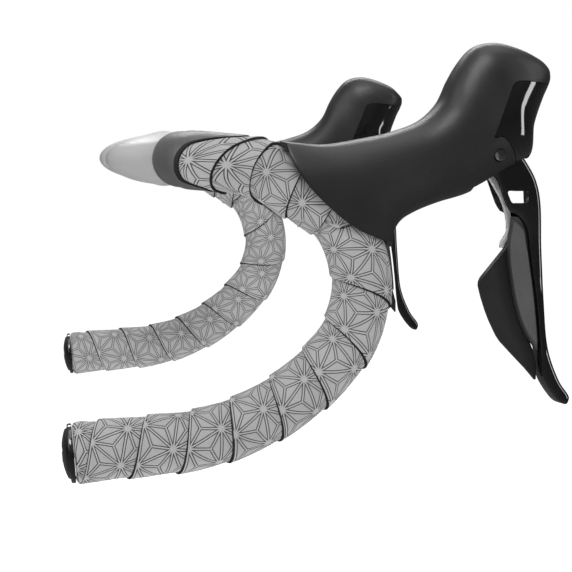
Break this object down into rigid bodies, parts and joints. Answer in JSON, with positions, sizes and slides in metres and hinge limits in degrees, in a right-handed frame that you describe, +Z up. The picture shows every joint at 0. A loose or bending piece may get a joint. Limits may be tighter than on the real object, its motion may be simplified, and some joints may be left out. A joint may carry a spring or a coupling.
{
  "type": "taped drop handlebar",
  "caption": "Road bicycle drop handlebar wound in padded hemp-leaf pattern tape, with end plugs and a rubber-hooded brake and shift lever on each side.",
  "frame": {"origin": "middle of the bar's clamp zone, on its axis", "axes": "+X forward, +Y to the rider's left along the bar, +Z up"},
  "size_m": [0.2548, 0.4644, 0.2117],
  "materials": {
    "bar": "anodised, soft gloss",
    "bar_tape": "matt foam with raised hemp-leaf lines",
    "finishing_tape": "satin",
    "gloss_black": "gloss",
    "plug_plastic": "satin",
    "steel": "bright",
    "hood_rubber": "matt, fine grain",
    "bracket_plastic": "moulded",
    "dark_steel": "blackened",
    "blade": "gloss lacquer",
    "chrome": "polished",
    "hatched_grip": "fine diagonal ribs",
    "satin_black": "satin",
    "cylinder_alloy": "turned",
    "spring_steel": "bright"
  },
  "bodies": {
    "bar": {"handlebar": "bar", "bar_tape_left": "bar_tape", "bar_tape_right": "bar_tape", "finishing_tape_left": "finishing_tape", "finishing_tape_right": "finishing_tape", "end_cap_left": "gloss_black", "end_cap_right": "gloss_black", "plug_sleeve_left": "plug_plastic", "plug_sleeve_right": "plug_plastic", "plug_wedge_left": "plug_plastic", "plug_wedge_right": "plug_plastic", "plug_screw_left": "steel", "plug_screw_right": "steel", "lever_hood_left": "hood_rubber", "lever_hood_right": "hood_rubber", "bracket_body_left": "bracket_plastic", "bracket_body_right": "bracket_plastic", "clamp_band_left": "steel", "clamp_band_right": "steel", "clamp_bolt_left": "steel", "clamp_bolt_right": "steel", "front_cap_left": "gloss_black", "front_cap_right": "gloss_black", "pivot_pin_left": "dark_steel", "pivot_pin_right": "dark_steel", "master_cylinder_left": "cylinder_alloy", "master_cylinder_right": "cylinder_alloy", "return_spring_left": "spring_steel", "return_spring_right": "spring_steel"},
    "brake_lever_left": {"brake_blade_left": "blade", "shift_arm_left": "chrome"},
    "upper_button_left": {"upper_shift_button_left": "hatched_grip"},
    "lower_paddle_left": {"lower_shift_paddle_left": "satin_black"},
    "piston_left": {"piston_left": "steel"},
    "brake_lever_right": {"brake_blade_right": "blade", "shift_arm_right": "chrome"},
    "upper_button_right": {"upper_shift_button_right": "hatched_grip"},
    "lower_paddle_right": {"lower_shift_paddle_right": "satin_black"},
    "piston_right": {"piston_right": "steel"}
  },
  "joints": [
    {"name": "brake_pull_left", "type": "hinge", "parent": "bar", "child": "brake_lever_left", "pos_m": [0.15061, 0.19955, 0.002], "axis": [0.1736, 0.9848, 0], "range_deg": [0, 20], "stiffness_Nm_per_rad": 0.3, "springref_deg": -11.46},
    {"name": "upper_shift_left", "type": "hinge", "parent": "brake_lever_left", "child": "upper_button_left", "pos_m": [0.17159, 0.19585, -0.06], "axis": [-0.1969, 0.0347, 0.9798], "range_deg": [0, 3], "stiffness_Nm_per_rad": 0.5, "springref_deg": -1.15},
    {"name": "lower_shift_left", "type": "hinge", "parent": "brake_lever_left", "child": "lower_paddle_left", "pos_m": [0.17035, 0.19404, -0.078], "axis": [-0.2314, 0.0408, 0.972], "range_deg": [0, 4], "stiffness_Nm_per_rad": 0.5, "springref_deg": -1.15},
    {"name": "piston_slide_left", "type": "slide", "parent": "bar", "child": "piston_left", "axis": [-0.9848, 0.1736, 0], "range_m": [0, 0.0025]},
    {"name": "brake_pull_right", "type": "hinge", "parent": "bar", "child": "brake_lever_right", "pos_m": [0.15061, -0.19955, 0.002], "axis": [-0.1736, 0.9848, 0], "range_deg": [0, 20], "stiffness_Nm_per_rad": 0.3, "springref_deg": -11.46},
    {"name": "upper_shift_right", "type": "hinge", "parent": "brake_lever_right", "child": "upper_button_right", "pos_m": [0.17159, -0.19585, -0.06], "axis": [0.1969, 0.0347, -0.9798], "range_deg": [0, 3], "stiffness_Nm_per_rad": 0.5, "springref_deg": -1.15},
    {"name": "lower_shift_right", "type": "hinge", "parent": "brake_lever_right", "child": "lower_paddle_right", "pos_m": [0.17035, -0.19404, -0.078], "axis": [0.2314, 0.0408, -0.972], "range_deg": [0, 4], "stiffness_Nm_per_rad": 0.5, "springref_deg": -1.15},
    {"name": "piston_slide_right", "type": "slide", "parent": "bar", "child": "piston_right", "axis": [-0.9848, -0.1736, 0], "range_m": [0, 0.0025]}
  ],
  "couplings": [
    {"joint": "piston_slide_left", "follows": "brake_pull_left", "m_per_rad": 0.0069},
    {"joint": "piston_slide_right", "follows": "brake_pull_right", "m_per_rad": 0.0069}
  ]
}
